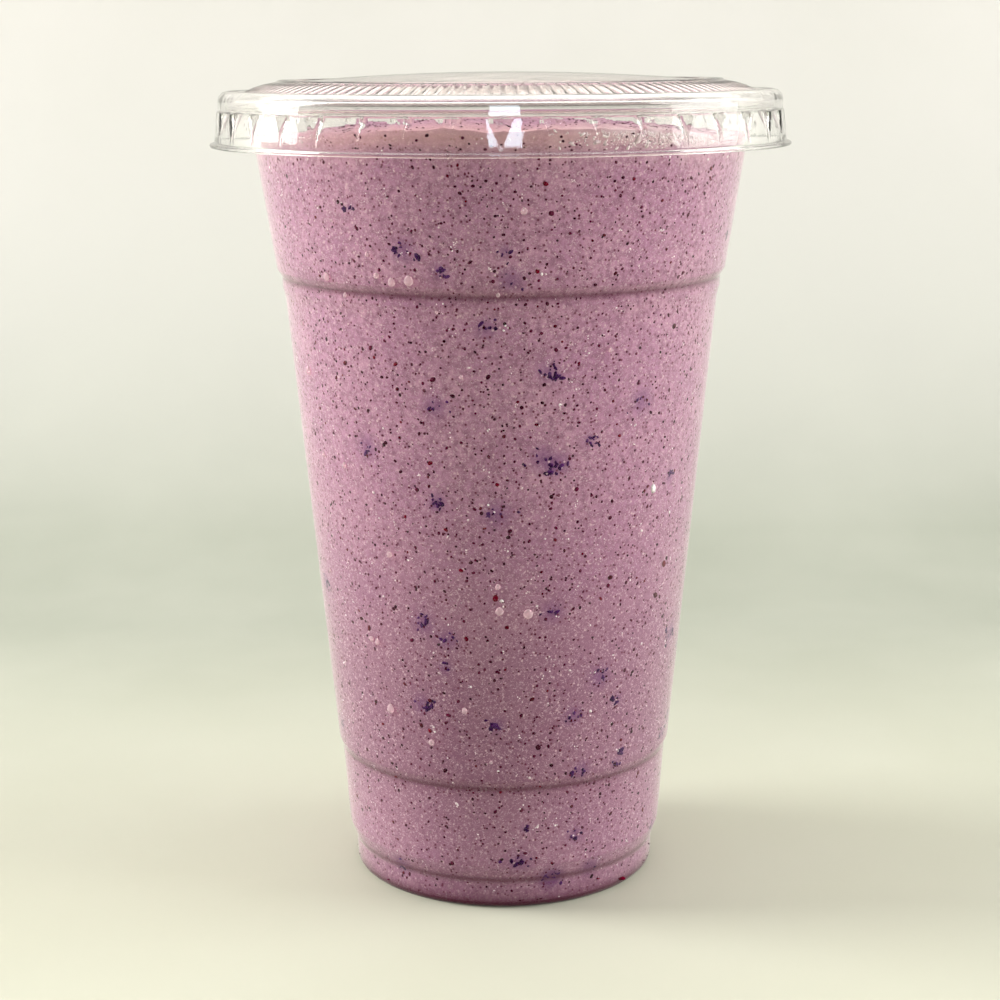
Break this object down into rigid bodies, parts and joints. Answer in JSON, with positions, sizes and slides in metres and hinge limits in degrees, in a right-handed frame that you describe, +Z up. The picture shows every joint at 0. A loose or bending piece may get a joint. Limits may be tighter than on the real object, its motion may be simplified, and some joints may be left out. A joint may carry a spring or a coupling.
{
  "type": "protein shake",
  "caption": "Clear stepped cold cup with a rolled lip and a low domed clear lid with fine radial ribs and snap wedges, filled almost to the brim with a thick speckled berry protein shake.",
  "frame": {"origin": "middle of the cup's foot, on the surface it stands on", "axes": "+Z up along the cup's axis; the drink's surface leans down towards +Y, so its higher front faces -Y"},
  "size_m": [0.1046, 0.1046, 0.1492],
  "materials": {
    "cup_plastic": "clear thin plastic, smooth and glossy",
    "lid_plastic": "clear thin plastic, smooth and glossy",
    "shake": "opaque thick mauve-pink drink with dark berry specks"
  },
  "bodies": {
    "root": {"cup": "cup_plastic", "lid": "lid_plastic", "shake": "shake"}
  },
  "joints": []
}
